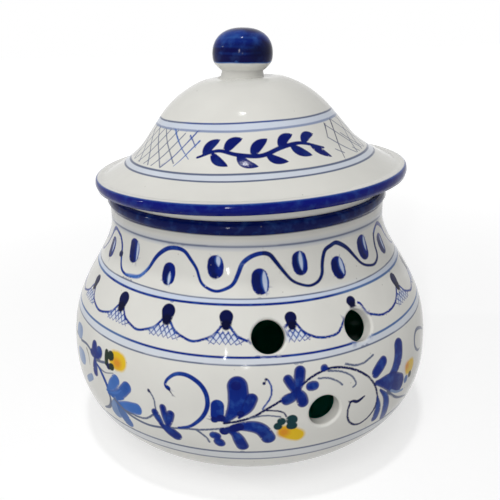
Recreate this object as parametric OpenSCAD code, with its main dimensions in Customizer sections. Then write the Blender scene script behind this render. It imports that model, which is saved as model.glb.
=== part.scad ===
// Vented ceramic garlic keeper: a bellied jar, a loose domed lid and the knob luted onto the lid.
// Millimetres, +Z up, origin on the table under the middle of the jar, front towards -Y.

/* [Jar] */
// Outside diameter at the widest part
belly_d = 140; // [126:1:156]
// Height of the widest part above the table
belly_z = 32.9; // [30:0.1:40]
// Diameter of the low foot that the jar stands on
foot_d = 88; // [78:1:94]
// How far the foot lifts the rounded bottom off the table
foot_lift = 0.8; // [0.4:0.1:2]
// How far the rounded bottom runs in under the edge of the foot
foot_tuck = 5.5; // [3:0.5:10]
// Outside diameter of the neck
neck_d = 104.1; // [97:0.1:110]
// Height at which the shoulder runs into the straight neck
neck_z = 85.4; // [80:0.2:94]
// Height of the straight neck
neck_h = 5; // [4:0.2:8]
// Fullness of the shoulder: 1 is an even curve, more keeps the belly wide for longer
shoulder_curve = 1.4; // [1.2:0.05:1.5]
// Thickness of the side wall
wall = 5; // [4:0.25:6]
// Thickness of the floor
floor_t = 6; // [4.5:0.5:8]

/* [Mouth] */
// Height of the rolled lip above the straight neck
lip_rise = 4.3; // [4.2:0.1:8]
// Radius of the roll of the lip
lip_roll = 2.3; // [2:0.1:2.6]
// How far the roll stands out from the neck
lip_proud = 0.9; // [0.6:0.1:1.4]
// Rounding of the inner edge of the lip
lip_ease = 1.2; // [0.6:0.1:1.6]

/* [Vents] */
// Bore of each vent
vent_d = 10.8; // [8:0.2:14]
// Number of groups of three vents around the jar
vent_groups = 2; // [1:1:3]
// Turn of the middle of the first group from the front
vent_turn = 20; // [0:0.2:60]
// Turn of each upper vent from the middle of its group
vent_spread = 14.3; // [11:0.1:18]
// Height of the two upper vents
vent_upper_z = 60; // [57:0.1:66]
// Height of the lower vent
vent_lower_z = 34.9; // [30:0.1:40]

/* [Lid] */
// Outside diameter over the rolled rim
rim_d = 116.8; // [112:0.2:124]
// Radius of the roll of the rim
rim_roll = 2.1; // [1.8:0.1:2.6]
// Height of the middle of the rim roll above the lip of the jar
rim_lift = 5.7; // [5:0.1:8]
// How far the roll of the rim stands above the brim
rim_proud = 0.4; // [0.2:0.1:1.2]
// Slope of the brim
brim_slope = 25; // [18:1:30]
// Diameter at which the brim turns up into the dome
brim_d = 86.5; // [82:0.1:92]
// Slope of the straight side of the dome
dome_slope = 51.7; // [46:0.1:56]
// Width of the round that tops the dome
dome_w = 76; // [70:1:80]
// Height of the round that tops the dome
dome_h = 32.2; // [28:0.2:38]
// Diameter of the flat on top of the dome that carries the knob
crown_d = 28; // [24:0.5:31]
// How far the bend between brim and dome reaches in from the turn
bend_reach = 4.7; // [3:0.1:8]
// Wall thickness of the lid
lid_wall = 4.8; // [4:0.2:6]
// Depth of the collar that hangs in the mouth
collar_h = 7; // [4:0.5:12]
// Wall thickness of the collar
collar_wall = 4; // [3:0.25:5]
// Free play of the collar in the mouth, on each side
collar_play = 1.1; // [0.6:0.1:2]
// How far the seat of the lid reaches out over the lip
seat_reach = 4; // [3.6:0.1:5]
// Slope of the outside of the seat, from upright
seat_flare = 28; // [10:1:40]

/* [Knob] */
// Widest diameter of the knob
knob_d = 22; // [20:0.5:27]
// Height of the ball of the knob above its widest part
knob_top_h = 9.4; // [8:0.1:11]
// Height of the ball of the knob below its widest part, if it closed underneath
knob_low_h = 6.6; // [6:0.1:9]
// Fullness of the ball: 2 is an even round, more makes it boxier
knob_full = 2.35; // [2:0.05:2.8]
// Diameter of the neck of the knob
knob_neck_d = 15; // [12:0.2:16]
// Height of the neck of the knob
knob_neck_h = 2.6; // [2:0.1:6]
// Diameter of the luted joint between knob and lid
knob_foot_d = 18; // [16.6:0.2:21]

/* [Hidden] */
$fn = 96;
steps = 24;
edge_steps = 10;
half_turn = 180;
slope_probe = 0.1;

belly_r = belly_d / 2;
foot_r = foot_d / 2;
neck_r = neck_d / 2;
mouth_r = neck_r - wall;
neck_top = neck_z + neck_h;
jar_top = neck_top + lip_rise;

// The lower half of the jar is a quarter of an ellipse that starts at the foot.
base_c = foot_r - foot_tuck;
base_w = belly_r - base_c;
base_h = belly_z - foot_lift;
base_start = asin(foot_tuck / base_w);

lip_c = [neck_r + lip_proud - lip_roll, jar_top - lip_roll];

rim_c = [rim_d / 2 - rim_roll, jar_top + rim_lift];
rim_start = 180 - asin(1 - rim_proud / rim_roll);
rim_end = -150;
brim_end = rim_c + rim_roll * [cos(rim_start), sin(rim_start)];
brim_r = brim_d / 2;
turn_z = brim_end[1] + (brim_end[0] - brim_r) * tan(brim_slope);
bend_r = brim_r - bend_reach;
bend_z = turn_z + bend_reach * tan(dome_slope);
dome_r = dome_w / 2;
dome_end = atan(tan(dome_slope) * dome_r / dome_h);
dome_c = turn_z + (brim_r - dome_r * sin(dome_end)) * tan(dome_slope) - dome_h * cos(dome_end);
inner_dome_r = dome_r - lid_wall;
crown_r = crown_d / 2;
dome_start = asin(crown_r / dome_r);
knob_seat = dome_c + dome_h * cos(dome_start);
inner_dome_h = knob_seat - dome_c - lid_wall;
collar_r = mouth_r - collar_play;
collar_in = collar_r - collar_wall;
inner_shift = lid_wall / sin(dome_slope);
collar_top = turn_z - (collar_in - brim_r + inner_shift) * tan(dome_slope);
seat_r = collar_r + collar_play + seat_reach;
under_z = rim_c[1] + rim_roll * sin(rim_end);
under_r = seat_r + (under_z - jar_top) * tan(seat_flare);

knob_r = knob_d / 2;
knob_neck_r = knob_neck_d / 2;
knob_foot_r = knob_foot_d / 2;
knob_end = acos(pow(knob_neck_r / knob_r, knob_full / 2));
knob_c = knob_seat + knob_neck_h + knob_low_h * pow(sin(knob_end), 2 / knob_full);

// Outside radius of the shoulder at a height between the belly and the neck
function shoulder_r(z) =
    neck_r + (belly_r - neck_r)
    * (1 + cos(half_turn * pow((z - belly_z) / (neck_z - belly_z), shoulder_curve))) / 2;

// Outside radius of the lower half of the jar at a height below the belly
function base_r(z) = base_c + base_w * sqrt(1 - pow((belly_z - z) / base_h, 2));

function jar_r(z) = z < belly_z ? base_r(z) : shoulder_r(z);

// Points on an arc of an ellipse, with the angle counted from the +X side
function arc(centre, size, from, to, count) =
    [for (i = [0 : count])
        let (a = from + (to - from) * i / count)
        [centre[0] + size[0] * cos(a), centre[1] + size[1] * sin(a)]];

// Points on the shoulder curve, moved in by a thickness
function shoulder(inset) =
    [for (i = [1 : steps])
        let (z = belly_z + (neck_z - belly_z) * i / steps)
        [shoulder_r(z) - inset, z]];

// Points on a curve that leaves one point towards a corner and arrives at another
function bend(from, corner, to, count) =
    [for (i = [1 : count])
        let (t = i / count)
        pow(1 - t, 2) * from + 2 * t * (1 - t) * corner + pow(t, 2) * to];

// Points on a full round from below its widest part to its top
function ball(middle_z, radius, low, high, full, from, count) =
    [for (i = [0 : count])
        let (a = from + (90 - from) * i / count)
        let (rise = pow(abs(sin(a)), 2 / full))
        [radius * pow(abs(cos(a)), 2 / full), middle_z + (a < 0 ? -low : high) * rise]];

function reversed(points) = [for (i = [len(points) - 1 : -1 : 0]) points[i]];

module jar_pot() {
    roll_start = -acos((neck_r - lip_c[0]) / lip_roll);
    ease_c = [mouth_r + lip_ease, jar_top - lip_ease];
    outside = concat(
        arc([base_c, belly_z], [base_w, base_h], base_start - 90, 0, steps),
        shoulder(0),
        arc(lip_c, [lip_roll, lip_roll], roll_start, 90, edge_steps));
    inside = concat(
        arc([base_c, belly_z], [base_w - wall, belly_z - floor_t], -90, 0, steps),
        shoulder(wall));
    rotate_extrude()
        polygon(concat(
            [[0, 0], [foot_r, 0]],
            outside,
            arc(ease_c, [lip_ease, lip_ease], 90, 180, edge_steps),
            reversed(inside),
            [[0, floor_t]]));
}

module vent(turn, z) {
    slope = (jar_r(z - slope_probe) - jar_r(z + slope_probe)) / (2 * slope_probe);
    rotate([0, 0, turn])
        translate([0, -jar_r(z), z])
        rotate([90 - atan(slope), 0, 0])
        cylinder(d = vent_d, h = 3 * wall, center = true);
}

module vents() {
    for (group = [0 : vent_groups - 1]) {
        middle = vent_turn + 360 * group / vent_groups;
        vent(middle - vent_spread, vent_upper_z);
        vent(middle + vent_spread, vent_upper_z);
        vent(middle, vent_lower_z);
    }
}

module jar_body() {
    color("ivory")
        difference() {
            jar_pot();
            vents();
        }
}

module lid() {
    outside = concat(
        arc([0, dome_c], [dome_r, dome_h], 90 - dome_start, 90 - dome_end, steps),
        [[bend_r, bend_z]],
        bend([bend_r, bend_z], [brim_r, turn_z], brim_end, steps),
        arc(rim_c, [rim_roll, rim_roll], rim_start, rim_end, steps));
    inside = arc([0, dome_c], [inner_dome_r, inner_dome_h], 90 - dome_end, 90, steps);
    color("ivory")
        rotate_extrude()
        polygon(concat(
            [[0, knob_seat]],
            outside,
            [[under_r, under_z]],
            [[seat_r, jar_top], [collar_r, jar_top]],
            [[collar_r, jar_top - collar_h], [collar_in, jar_top - collar_h]],
            [[collar_in, collar_top]],
            inside));
}

module lid_knob() {
    waist = [knob_neck_r, knob_seat + knob_neck_h];
    color("mediumblue")
        rotate_extrude()
        polygon(concat(
            [[0, knob_seat], [knob_foot_r, knob_seat]],
            bend([knob_foot_r, knob_seat], [knob_neck_r, knob_seat], waist, edge_steps),
            ball(knob_c, knob_r, knob_low_h, knob_top_h, knob_full, -knob_end, steps)));
}

jar_body();
lid();
lid_knob();
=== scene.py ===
"""Look of the vented garlic keeper: painted glaze on the jar, lid and knob, with camera and light."""
import math

import bpy
import numpy as np
from mathutils import Matrix, Vector
from mathutils.geometry import delaunay_2d_cdt


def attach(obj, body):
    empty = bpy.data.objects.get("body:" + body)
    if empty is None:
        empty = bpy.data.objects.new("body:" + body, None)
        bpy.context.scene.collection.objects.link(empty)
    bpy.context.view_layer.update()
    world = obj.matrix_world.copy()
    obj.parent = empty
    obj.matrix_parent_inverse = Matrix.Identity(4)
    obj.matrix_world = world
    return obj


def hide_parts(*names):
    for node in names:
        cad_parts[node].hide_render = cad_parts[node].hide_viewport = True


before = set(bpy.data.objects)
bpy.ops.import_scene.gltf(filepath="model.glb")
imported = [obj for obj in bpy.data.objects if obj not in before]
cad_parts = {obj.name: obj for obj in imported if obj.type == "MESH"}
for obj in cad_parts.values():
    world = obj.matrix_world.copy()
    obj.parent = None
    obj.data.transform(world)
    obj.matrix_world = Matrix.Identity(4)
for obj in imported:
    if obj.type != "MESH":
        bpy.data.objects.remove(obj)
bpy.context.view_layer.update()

MM = 0.001
TINY = 1e-12           # keeps a division by a length of nothing defined
COLUMNS = 240          # columns of points round every turned surface
SEAM = -90             # turn at which a painted surface is slit to lay it flat
SEAM_STEP = 0.3        # mm between the points on the two sides of the seam
SEAM_CLEAR = 0.25      # degrees beside the seam that are kept free of other points
GRID_STEP = 1.9        # mm between the rows of plain glaze
GRID_CELL = 0.9        # mm of room that a point of the plain glaze needs
GRID_CLEAR = 0.7       # mm that the plain glaze's points keep from edges and vents
SEED_STEP = 0.45       # mm between the points along the edge of a brush stroke
SEED_CELL = 0.3        # mm of room that a point of a stroke needs, also from edges and vents
SEED_HALF = 0.02       # mm of half width at which the points of a stroke stop closing in
FINE = 0.7             # mm of half width up to which a stroke also gets points along its middle
WIDE = 1.2             # mm of half width from which a stroke has a darker edge
EDGE = 0.4             # mm by which the fill of a wide stroke is narrower than its darker edge
SOFT = 0.34            # mm over which the edge of a stroke fades into the glaze
TRIM_MOST = 0.48       # share of a stroke that may be drawn in at one end
BAND_STEP = 1.5        # degrees between the points along the edge of a band
BAND_FADE = 6          # degrees over which a band with two ends fades out
OVER_TOP = 200         # height above every surface, for a band that runs over the edge
OVER_EDGE = 5          # mm by which such a band runs over
WELD = 0.002           # mm within which points of neighbouring parts become one
WELD_SHIFT = 0.137     # keeps round coordinates away from the edge between two cells
MERGE = 1e-8           # mm within which the triangulation takes two points for one
VENT_SLACK = 0.02      # mm by which a triangle beside a vent may reach into it
UV_MARGIN = 0.01       # free edge of the UV sheet
UV_HALF = 0.485        # width on it of a quarter turn of a painted surface

# Sizes of the part in mm, as the CAD has them
FOOT_R = 44.0
FOOT_EASE = 0.5
FOOT_TURN = -79.94     # where the round of the belly meets the foot
FLOOR_Z = 6.0
FLOOR_FLAT = 30        # radius of the middle of the floor inside
WALL = 5.0
BELLY = (38.5, 32.9)   # middle of the round of the belly, as radius and height
BELLY_OUT = (31.5, 32.1)
BELLY_IN = (26.5, 26.9)
NECK_R = 52.05
SHOULDER_SPAN = 17.95
SHOULDER_H = 52.5
SHOULDER_CURVE = 1.4
LIP = (50.65, 92.4)    # middle of the roll of the lip
LIP_ROLL = 2.3
LIP_EASE = 1.2
MOUTH_R = 47.05
JAR_TOP = 94.7
DOME_C = 104.48
DOME = (38.0, 32.2)
DOME_IN = (33.2, 25.14)
CROWN_Z = 134.5
CROWN_BLEND = 0.35     # how softly the dome runs into its flat crown
DOME_START = 82
DOME_END = 56.2
BEND = (38.55, 113.56)
TURN = (43.25, 107.61) # where the brim turns up into the dome
BRIM_END = (55.07, 102.1)
RIM = (56.3, 100.4)    # middle of the roll of the rim
RIM_ROLL = 2.1
RIM_FULL = 3.0         # 2 is a round roll, more flattens its face
RIM_TURNS = (100, -150)
RIM_POINTS = 44
RIM_BLUE = (62, -58)   # turn round the roll at which the blue begins and ends
RIM_PALE_EDGE = 0.55        # mm of paler blue along its upper edge
LID_PAINTED = 116      # points of the profile of the lid above the face of its rim
COLLAR_R = 45.95
COLLAR_IN = 41.95
COLLAR_LOW = 87.7
COLLAR_TOP = 101.5
COLLAR_EASE = 0.8
COLLAR_RISE = 1.5
SEAT_R = 51.05
SEAT_EASE = 0.3
UNDER = (53.52, 99.35)
KNOB_C = 142.3
KNOB_R = 11.0
KNOB_TOP = 9.4
KNOB_LOW = 6.6
KNOB_FULL = 2.35
KNOB_END = 50.39
KNOB_NECK_R = 7.5
KNOB_NECK_H = 2.6
KNOB_FOOT_R = 9.0
KNOB_SINK = 0.8        # how far the foot of the knob runs on inside the lid
KNOB_SEAT = 134.42
CROWN_STEP = 3         # radius of the plain disc under the knob
SUNK_FLAT = 6          # radius of the middle of the face under the knob
KNOB_LINE = 140.1      # height at which the blue begins
VENT_R = 5.4
VENT_EASE = 1.0
VENT_INNER_EASE = 0.8
VENT_CORNERS = 44
VENT_ROWS = 7          # rows of points over each rounded edge of a vent
# Turn and height of each vent in a group, and the turn of each group
VENTS = ((5.7, 60.6), (34.3, 59.3), (20.3, 34.9))
VENT_GROUPS = (0, 180)

# How the lid and the knob sit askew, in degrees and mm
LEAN = math.radians(1.5)
LEAN_PIVOT = 135.6
LEAN_FROM = 0.3        # height over the top of the jar at which the lean sets in
LEAN_EASE = 4          # height over which it comes to its full amount
LEAN_SIDE = 0.6        # how far the low part of the lid is off to the side
LEAN_SIDE_TOP = 125
LEAN_SIDE_SPAN = 20
KNOB_LEAN = math.radians(-3)
KNOB_SIDE = -0.42

# Rows of each part on the UV sheet of its piece; a painted part has two halves with a gap between them
UV_ROWS = {
    "jar": (0.01, 0.86, 0.01), "lip": (0.87, 0.89), "inside": (0.90, 0.93, 0.005), "vent": (0.945, 0.948),
    "floor": (0.975, 0.985), "foot": (0.987, 0.998), "lid": (0.01, 0.88, 0.01), "under": (0.90, 0.97),
    "crown": (0.975, 0.995), "knob": (0.01, 0.93, 0.01), "sunk": (0.95, 0.99),
}
UV_VENT_STEP = 0.004

# Colours in sRGB, 0 to 255
INKS = {
    "glaze": (226, 225, 219),
    "wash": (206, 216, 234),
    "mist": (146, 158, 186),
    "haze": (126, 150, 190),
    "sky": (64, 113, 190),
    "azure": (50, 96, 172),
    "dusk": (80, 112, 164),
    "blue": (18, 62, 148),
    "cobalt": (0, 39, 132),
    "navy": (0, 18, 104),
    "night": (0, 4, 44),
    "ink": (8, 20, 78),
    "slate": (98, 108, 134),
    "brown": (128, 120, 110),
    "yellow": (230, 190, 36),
    "orange": (222, 148, 40),
    "green": (30, 48, 36),
    "teal": (18, 58, 64),
    "deep": (0, 10, 68),
    "lip": (0, 14, 80),
    "rim": (0, 14, 116),
    "knob": (0, 3, 72),
    "royal": (0, 28, 122),
    "inside": (16, 176, 150),
    "clay": (196, 176, 148),
}
# How much each ink breaks into thin places
WET = {
    "lip": 0.4, "rim": 0.35, "knob": 0.25, "navy": 0.2, "cobalt": 0.8, "blue": 0.8, "azure": 0.8,
    "sky": 0.5, "dusk": 0.3,
}


def linear(name):
    c = np.array(INKS[name]) / 255
    return np.where(c < 0.04045, c / 12.92, ((c + 0.055) / 1.055) ** 2.4)


def wrap(turn):
    """A difference of turns, between -180 and 180."""
    return (np.asarray(turn) + 180) % 360 - 180


def from_seam(turn):
    """A turn on the surface laid flat, counted on from the seam."""
    return (np.asarray(turn) - SEAM) % 360 + SEAM


def arc(centre, size, start, end, count):
    a = np.radians(np.linspace(start, end, count))
    return np.stack([centre[0] + size[0] * np.cos(a), centre[1] + size[1] * np.sin(a)], 1)


def full_arc(centre, radius, full, turns):
    """Arc of a round that is boxier than a circle, at the given turns in degrees."""
    a = np.radians(turns)
    x, z = (np.sign(v) * np.abs(v) ** (2 / full) for v in (np.cos(a), np.sin(a)))
    return np.stack([centre[0] + radius * x, centre[1] + radius * z], 1)


def bend(start, corner, end, count):
    t = np.linspace(0, 1, count)[:, None]
    return (1 - t) ** 2 * np.array(start) + 2 * t * (1 - t) * np.array(corner) + t ** 2 * np.array(end)


def joined(*pieces):
    points = np.concatenate([np.atleast_2d(p) for p in pieces])
    keep = np.r_[True, np.hypot(*np.diff(points, axis=0).T) > 1e-4]
    return points[keep]


# Turned surfaces

class Skin:
    """A turned surface laid flat: degrees of turn across, millimetres along its profile upwards."""

    def __init__(self, profile, side=1, painted=None):
        self.r, self.z = profile.T
        self.s = np.r_[0, np.cumsum(np.hypot(np.diff(self.r), np.diff(self.z)))]
        self.length = self.s[-1]
        self.slope_r = np.gradient(self.r, self.s) * side
        self.slope_z = np.gradient(self.z, self.s) * side
        last = len(self.z) if painted is None else painted
        order = np.argsort(self.z[:last])
        self.level_z, self.level_s = self.z[:last][order], self.s[:last][order]
        self.middle_r = float(np.mean(self.r))

    def along(self, z):
        return np.interp(z, self.level_z, self.level_s)

    def radius(self, s):
        return np.interp(s, self.s, self.r)

    def points(self, turn, s):
        a = np.radians(turn)
        r = self.radius(s)
        return np.stack([r * np.sin(a), -r * np.cos(a), np.interp(s, self.s, self.z)], -1)

    def normals(self, turn, s):
        a = np.radians(turn)
        out, up = np.interp(s, self.s, self.slope_z), -np.interp(s, self.s, self.slope_r)
        n = np.stack([out * np.sin(a), -out * np.cos(a), up], -1)
        return n / np.linalg.norm(n, axis=-1, keepdims=True)


def shoulder(u, inset):
    """Points of the shoulder from the belly, u = 0, to the neck, u = 1, moved in by a thickness."""
    fall = (1 + np.cos(np.pi * u ** SHOULDER_CURVE)) / 2
    return np.stack([NECK_R - inset + SHOULDER_SPAN * fall, BELLY[1] + SHOULDER_H * u], 1)


def jar_outside():
    roll_start = -math.degrees(math.acos((NECK_R - LIP[0]) / LIP_ROLL))
    return joined(
        arc(BELLY, BELLY_OUT, FOOT_TURN, 0, count=70),
        shoulder(np.linspace(0, 1, 110)[1:], 0),
        arc(LIP, (LIP_ROLL, LIP_ROLL), roll_start, 90, count=30))


def jar_inside():
    return joined(
        (MOUTH_R, JAR_TOP - LIP_EASE),
        shoulder(np.linspace(1, 0, 110), WALL),
        arc(BELLY, BELLY_IN, 0, -90, count=50))


def lid_outside():
    """Dome with a flat crown, brim and rolled rim, from the top down."""
    dome = arc((0, DOME_C), DOME, DOME_START, 90 - DOME_END, count=64)
    heights = np.stack([dome[:, 1], np.full(len(dome), CROWN_Z)])
    dome[:, 1] = -CROWN_BLEND * np.log(np.exp((CROWN_Z - heights) / CROWN_BLEND).sum(0)) + CROWN_Z
    side = bend(BEND, TURN, BRIM_END, count=50)
    roll = full_arc(RIM, RIM_ROLL, RIM_FULL, np.linspace(*RIM_TURNS, RIM_POINTS))
    return joined(dome, side, roll)


# Brush strokes

# Half width along a stroke, as a share of the widest
SHAPES = {
    "line": lambda u: 1 + 0 * u,
    "tip": lambda u: 1 - 0.7 * u,
    "swell": lambda u: 0.55 + 0.45 * np.sin(np.pi * u),
    "leaf": lambda u: 0.14 + 0.86 * np.clip(np.sin(np.pi * u ** 0.9), 0, 1) ** 0.8,
    "petal": lambda u: 0.25 + 0.75 * np.sin(np.pi / 2 * np.clip(u / 0.75, 0, 1)) ** 1.2,
    "drop": lambda u: 1 - 0.34 * u ** 1.3,
    "oval": lambda u: 0.93 + 0.07 * np.sin(np.pi * u),
}
# Half widths by which the round ends of a stroke are drawn in, at its start and its end
TRIMS = {"petal": (0, 1), "oval": (1, 1), "drop": (1, 0.6)}


def spline(points, step):
    p = np.asarray(points, float)
    ends = np.concatenate([[2 * p[0] - p[1]], p, [2 * p[-1] - p[-2]]])
    out = []
    for a, b, c, d in zip(ends, ends[1:], ends[2:], ends[3:]):
        t = np.linspace(0, 1, max(3, int(math.dist(b, c) / step) + 1), endpoint=False)[:, None]
        out.append(0.5 * (2 * b + (c - a) * t + (2 * a - 5 * b + 4 * c - d) * t ** 2
                          + (3 * b - a - 3 * c + d) * t ** 3))
    return np.concatenate(out + [p[-1:]])


class Stroke:
    """One stroke of the brush along points of (turn in degrees, height in mm).

    Paint that is kept inside another stroke adds no points to the mesh.
    """

    def __init__(self, skin, shape, ink, half, points, soft=SOFT, strength=1.0, inside=None):
        turn, z = np.array(points, float).T
        s = skin.along(z)
        self.turn = turn.mean()
        self.r = float(skin.radius(s.mean()))
        self.ink, self.soft, self.strength = ink, soft, strength
        self.inside, self.seeded = inside, inside is None
        self.spine = spline(np.stack([np.radians(turn - self.turn) * self.r, s], 1), SEED_STEP)
        self.widest = float(np.max(half))
        self.trim(*(self.widest * t for t in TRIMS.get(shape, (0, 0))))
        way = self.way() / self.way()[-1]
        self.half = np.interp(way, np.linspace(0, 1, np.size(half)), np.ravel(half)) * SHAPES[shape](way)

    def way(self):
        return np.r_[0, np.cumsum(np.hypot(*np.diff(self.spine, axis=0).T))]

    def trim(self, start, end):
        way = self.way()
        start, end = (min(t, TRIM_MOST * way[-1]) for t in (start, end))
        at = np.linspace(start, way[-1] - end, max(3, int((way[-1] - start - end) / SEED_STEP)))
        self.spine = np.stack([np.interp(at, way, axis) for axis in self.spine.T], 1)

    def seeds(self):
        """Points on both edges of the stroke, so that the mesh follows its outline."""
        along = np.gradient(self.spine, axis=0)
        along /= np.maximum(np.linalg.norm(along, axis=1, keepdims=True), TINY)
        across = np.stack([-along[:, 1], along[:, 0]], 1)
        rows = [self.spine] if self.widest < FINE else []
        edges = [self.half + self.soft / 2, np.maximum(self.half - self.soft / 2, SEED_HALF)]
        if self.widest > WIDE:
            edges.append(np.maximum(self.half - 2 * EDGE, SEED_HALF))
        for edge in edges:
            rows += [self.spine + across * edge[:, None], self.spine - across * edge[:, None]]
            for i, sign in ((0, -1), (-1, 1)):
                count = max(3, int(math.pi * edge[i] / SEED_STEP))
                a = np.linspace(-np.pi / 2, np.pi / 2, count)[1:-1, None]
                cap = sign * along[i] * np.cos(a) + across[i] * np.sin(a)
                rows.append(self.spine[i] + cap * edge[i])
        flat = np.concatenate(rows)
        return np.stack([self.turn + np.degrees(flat[:, 0] / self.r), flat[:, 1]], 1)

    def cover(self, turn, s):
        """The points that the stroke reaches and how much paint each gets."""
        x = np.radians(wrap(turn - self.turn)) * self.r
        reach = self.half.max() + self.soft
        low, high = self.spine.min(0) - reach, self.spine.max(0) + reach
        near = np.nonzero((x > low[0]) & (x < high[0]) & (s > low[1]) & (s < high[1]))[0]
        p = np.stack([x[near], s[near]], 1)
        nearest, width = np.full(len(p), np.inf), np.zeros(len(p))
        for i in range(len(self.spine) - 1):
            step = self.spine[i + 1] - self.spine[i]
            t = np.clip((p - self.spine[i]) @ step / max(step @ step, TINY), 0, 1)
            off = np.linalg.norm(p - self.spine[i] - t[:, None] * step, axis=1)
            closer = off < nearest
            nearest = np.where(closer, off, nearest)
            width = np.where(closer, self.half[i] + t * (self.half[i + 1] - self.half[i]), width)
        amount = np.clip(0.5 + (width - nearest) / self.soft, 0, 1) * self.strength
        if self.inside:
            limit = np.zeros(len(turn))
            within, share = self.inside.cover(turn, s)
            limit[within] = share / self.inside.strength
            amount *= limit[near]
        return near, amount


class Band:
    """A line or band pulled all the way round on the wheel, between two places along the profile."""

    widest = 0.0

    def __init__(self, low, high, ink, soft=SOFT, strength=1.0, waver=0.1, seeded=True, span=None):
        self.low, self.high = low, high
        self.ink, self.soft, self.strength, self.waver = ink, soft, strength, waver
        self.seeded, self.span = seeded, span

    def shift(self, turn):
        """Waver of the hand: three slow and seven smaller waves in a turn."""
        a = np.radians(turn)
        return self.waver * (np.sin(3 * a + self.low) + 0.6 * np.sin(7 * a + 2 * self.low))

    def seeds(self):
        turn = np.arange(-180, 180, BAND_STEP)
        rows = [e + d for e in (self.low, self.high) for d in (-self.soft / 2, self.soft / 2)]
        return np.concatenate([np.stack([turn, row + self.shift(turn)], 1) for row in rows])

    def cover(self, turn, s):
        y = s - self.shift(turn)
        amount = np.clip(0.5 + np.minimum(y - self.low, self.high - y) / self.soft, 0, 1) * self.strength
        if self.span:
            middle, half = sum(self.span) / 2, (self.span[1] - self.span[0]) / 2
            amount = amount * np.clip((half - np.abs(wrap(turn - middle))) / BAND_FADE, 0, 1)
        return np.arange(len(turn)), amount


def level_band(skin, low, high, *look):
    """A band between two heights; one that ends above the surface runs over its edge."""
    s_low, s_high = sorted((skin.along(low), skin.along(high)))
    return Band(s_low, skin.length + OVER_EDGE if high > skin.level_z[-1] else s_high, *look)


def apply_paint(marks, turn, s):
    """Colour and wetness of every point after all the marks are laid on in order."""
    paint = np.zeros((len(turn), 4))
    paint[:, :3] = linear("glaze")
    for mark in marks:
        near, amount = mark.cover(turn, s)
        amount = amount[:, None]
        paint[near, :3] = paint[near, :3] * (1 - amount) + linear(mark.ink) * amount
        paint[near, 3:] = paint[near, 3:] * (1 - amount) + WET.get(mark.ink, 0) * amount
    return paint


# The pattern of the jar

WAVE_FRONT = (
    (-58.7, 82.9), (-56.4, 80.1), (-54.8, 76.7), (-52.6, 73.9), (-49.8, 72.6), (-45.9, 72.3), (-42.6, 72.9),
    (-39.8, 74.1), (-37.6, 76.4), (-35.3, 80.1), (-32.6, 82.6), (-29.2, 84.4), (-25.3, 84.8), (-22.6, 84),
    (-20.3, 81.7), (-17.8, 78.9), (-15.9, 75.4), (-13.7, 73.8), (-10.1, 72.9), (-6.4, 74), (-4.5, 75.4),
    (-3.1, 78), (-1.7, 81), (0.6, 82.9), (3.3, 84), (6.1, 84.3), (8.1, 83.6), (10, 81.4), (12.2, 78.6),
    (15, 75.4), (17.8, 73.9), (21.1, 73.1), (24.4, 73.9), (26.4, 75.8), (27.2, 78.3), (28.1, 80.8),
    (29.4, 82.9), (31.9, 83.9), (34.2, 84.4), (37.2, 83.1), (40, 81.1), (42.5, 78.3), (45, 75.4),
    (47.8, 74), (51.7, 73.3), (55, 74.2), (56.7, 75.8), (57.2, 78.3), (58.3, 82))
# First and last crest behind and the waves between them
WAVE_BACK = (63.5, 296.5, 7)
WAVE_MIDDLE = 78.7
WAVE_RISE = 5.8
WAVE_JOIN = ((60.5, 83.8), (63.5, 84.6))
WAVE_STEPS = 12        # points in each wave behind
WAVE_STEEP = 0.1       # how much fuller its swing is than a plain sine
WAVE_HALF = ((73, 84), (0.46, 0.76))       # half width of the line in its hollows and on its crests
WAVE_DARK = 25         # point of the front from which the wave is gone over in a darker ink
WAVE_TOUCHES = (
    # Shape, ink, half width, softness, strength and points of single touches beside the wave
    ("oval", "ink", 1.2, SOFT, 1.0, (-57.2, 77.2), (-54, 77.6)),
    ("leaf", "sky", 0.75, 0.5, 0.8, (-48.5, 72.5), (-42, 73), (-39.4, 74.6), (-37.2, 77.6)),
)
# Turn and height of each oval with its half width in degrees and half height in mm, then the same for
# its pale streak, with the half width in mm
OVALS = (
    (-65, 77.5, 2.8, 3.8, -64.5, 78, 0.6, 2),
    (-47, 80.6, 3.0, 4.3, -45.2, 80.8, 0.6, 3.2),
    (-28.3, 76.4, 2.7, 3.6, -27.9, 75, 0.55, 1.9),
    (-11, 80.1, 3.0, 3.8, -10.2, 81.9, 0.8, 1.7),
    (4.3, 75.8, 3.0, 4.0, 5.7, 75.6, 0.85, 3),
    (18.7, 80.2, 2.9, 4.0, 19, 80.8, 0.75, 2.9),
    (33.6, 76.5, 3.0, 3.7, 35, 76.8, 0.8, 2.6),
    (48.3, 80, 3.1, 4.4, 49.8, 81, 0.6, 2.6),
    (63, 77.5, 2.8, 3.8, 64, 77.5, 0.6, 2.5),
)
# Heights and sizes of the ovals behind
OVAL_LEVELS = (80.3, 76.4)
OVAL_SIZE = (3, 3.9)
OVAL_STREAK = (0.7, 2.6)
OVAL_TILT = 0.3        # degrees by which an oval leans
# Blackish places of an oval: half width, two ends across and up as shares of its own, softness, strength
OVAL_DARK = (
    (0.48, ((-0.45, 0.75), (-0.4, -0.6)), 1.1, 0.55),
    (0.4, ((-0.5, -0.72), (0.3, -0.72)), 0.9, 0.65),
)
# Its pale streak: ink, half width as a share of the streak's, softness, strength
OVAL_PALE = (("sky", 1.35, 0.8, 0.7), ("wash", 0.85, 0.4, 0.85))
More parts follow.
